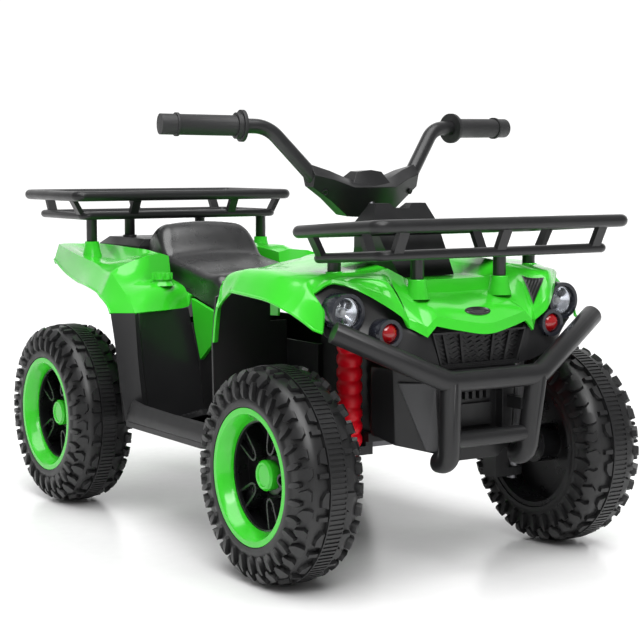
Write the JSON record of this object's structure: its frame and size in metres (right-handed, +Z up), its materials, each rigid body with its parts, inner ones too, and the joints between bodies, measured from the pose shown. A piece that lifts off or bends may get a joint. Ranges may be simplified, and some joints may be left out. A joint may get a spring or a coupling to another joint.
{
  "type": "kids quad bike",
  "caption": "Battery ride-on quad bike for a child: glossy body shells, racks, bumper, steered front wheels, driven rear wheels, pedal and switches",
  "frame": {"origin": "centre of the bounding box at floor level", "axes": "+Y towards the tail, -Y towards the front, +X towards the rider's left, +Z up"},
  "size_m": [0.6114, 1.097, 0.6283],
  "materials": {
    "green_gloss": "polished moulded plastic",
    "black_satin": "satin moulded plastic",
    "seat_black": "fine-grained moulded plastic",
    "pad_grey": "satin moulded plastic",
    "tyre_black": "blow-moulded plastic tread",
    "rim_black": "satin moulded plastic",
    "shock_red": "moulded plastic",
    "lens_clear": "clear moulded lens",
    "lens_red": "red moulded lens",
    "bezel_dark": "gloss moulded plastic",
    "bar_black": "powder-coated steel tube",
    "grip_black": "soft matte",
    "steel": "zinc-plated",
    "case_grey": "moulded case",
    "switch_red": "moulded plastic"
  },
  "bodies": {
    "chassis": {"battery": "case_grey", "body_screws": "steel", "chassis_tub": "black_satin", "control_box": "case_grey", "dash_cowl": "black_satin", "drive_motors": "steel", "front_bumper": "black_satin", "front_cover": "green_gloss", "front_fascia": "black_satin", "front_rack": "black_satin", "front_shocks": "shock_red", "fuel_caps": "green_gloss", "gearboxes": "black_satin", "grille": "black_satin", "guard_pads": "pad_grey", "headlight_bezels": "bezel_dark", "headlight_lenses": "lens_clear", "hood_vents": "black_satin", "indicator_bezels": "bezel_dark", "indicator_lenses": "lens_red", "kingpins": "steel", "knee_trims": "green_gloss", "lower_guard": "black_satin", "rear_axle": "steel", "rear_axle_nuts": "steel", "rear_cover": "green_gloss", "rear_deck": "black_satin", "rear_rack": "black_satin", "seat": "seat_black", "side_body_left": "black_satin", "side_body_right": "black_satin"},
    "steer": {"steering_column": "steel", "handlebar": "bar_black", "handlebar_cover": "black_satin", "grip_left": "grip_black", "grip_right": "grip_black"},
    "knuckle_left_body": {"knuckle_left": "steel", "axle_nut_left": "steel"},
    "knuckle_right_body": {"knuckle_right": "steel", "axle_nut_right": "steel"},
    "tie_link": {"tie_bar": "steel"},
    "throttle": {"accelerator_pedal": "grip_black"},
    "power_key": {"power_button": "switch_red"},
    "direction_rocker": {"direction_switch": "switch_red"},
    "wheel_front_right": {"tyre_front_right": "tyre_black", "rim_front_right": "rim_black", "rim_ring_front_right": "green_gloss", "hub_cap_front_right": "green_gloss"},
    "wheel_front_left": {"tyre_front_left": "tyre_black", "rim_front_left": "rim_black", "rim_ring_front_left": "green_gloss", "hub_cap_front_left": "green_gloss"},
    "wheel_rear_right": {"tyre_rear_right": "tyre_black", "rim_rear_right": "rim_black", "rim_ring_rear_right": "green_gloss", "hub_cap_rear_right": "green_gloss"},
    "wheel_rear_left": {"tyre_rear_left": "tyre_black", "rim_rear_left": "rim_black", "rim_ring_rear_left": "green_gloss", "hub_cap_rear_left": "green_gloss"}
  },
  "joints": [
    {"name": "steering", "type": "hinge", "parent": "chassis", "child": "steer", "pos_m": [0, -0.35493, 0.18296], "axis": [0, 0.3827, 0.9239], "range_deg": [-20, 20]},
    {"name": "kingpin_left", "type": "hinge", "parent": "chassis", "child": "knuckle_left_body", "pos_m": [0.16, -0.3595, 0.1385], "axis": [0, 0, 1], "range_deg": [-20, 20]},
    {"name": "kingpin_right", "type": "hinge", "parent": "chassis", "child": "knuckle_right_body", "pos_m": [-0.16, -0.3595, 0.1385], "axis": [0, 0, 1], "range_deg": [-20, 20]},
    {"name": "tie_pin", "type": "hinge", "parent": "knuckle_left_body", "child": "tie_link", "pos_m": [0.16, -0.2995, 0.16], "axis": [0, 0, 1], "range_deg": [-20, 20]},
    {"name": "spin_front_right", "type": "hinge", "parent": "knuckle_right_body", "child": "wheel_front_right", "pos_m": [-0.2375, -0.3595, 0.145], "axis": [1, 0, 0], "continuous": true},
    {"name": "spin_front_left", "type": "hinge", "parent": "knuckle_left_body", "child": "wheel_front_left", "pos_m": [0.2375, -0.3595, 0.145], "axis": [1, 0, 0], "continuous": true},
    {"name": "spin_rear_right", "type": "hinge", "parent": "chassis", "child": "wheel_rear_right", "pos_m": [-0.2375, 0.2939, 0.145], "axis": [1, 0, 0], "continuous": true},
    {"name": "spin_rear_left", "type": "hinge", "parent": "chassis", "child": "wheel_rear_left", "pos_m": [0.2375, 0.2939, 0.145], "axis": [1, 0, 0], "continuous": true},
    {"name": "pedal_press", "type": "hinge", "parent": "chassis", "child": "throttle", "pos_m": [-0.1805, -0.02, 0.168], "axis": [1, 0, 0], "range_deg": [0, 12], "stiffness_Nm_per_rad": 2, "springref_deg": -8.59},
    {"name": "power_press", "type": "slide", "parent": "chassis", "child": "power_key", "axis": [0, -1, 0], "range_m": [0, 0.003], "stiffness_N_per_m": 400, "springref_m": -0.002},
    {"name": "direction_tip", "type": "hinge", "parent": "chassis", "child": "direction_rocker", "pos_m": [0.04, -0.26643, 0.45168], "axis": [1, 0, 0], "range_deg": [-8, 8]}
  ],
  "couplings": [
    {"joint": "kingpin_left", "follows": "steering", "ratio": 1},
    {"joint": "kingpin_right", "follows": "steering", "ratio": 1},
    {"joint": "tie_pin", "follows": "steering", "ratio": -1}
  ]
}
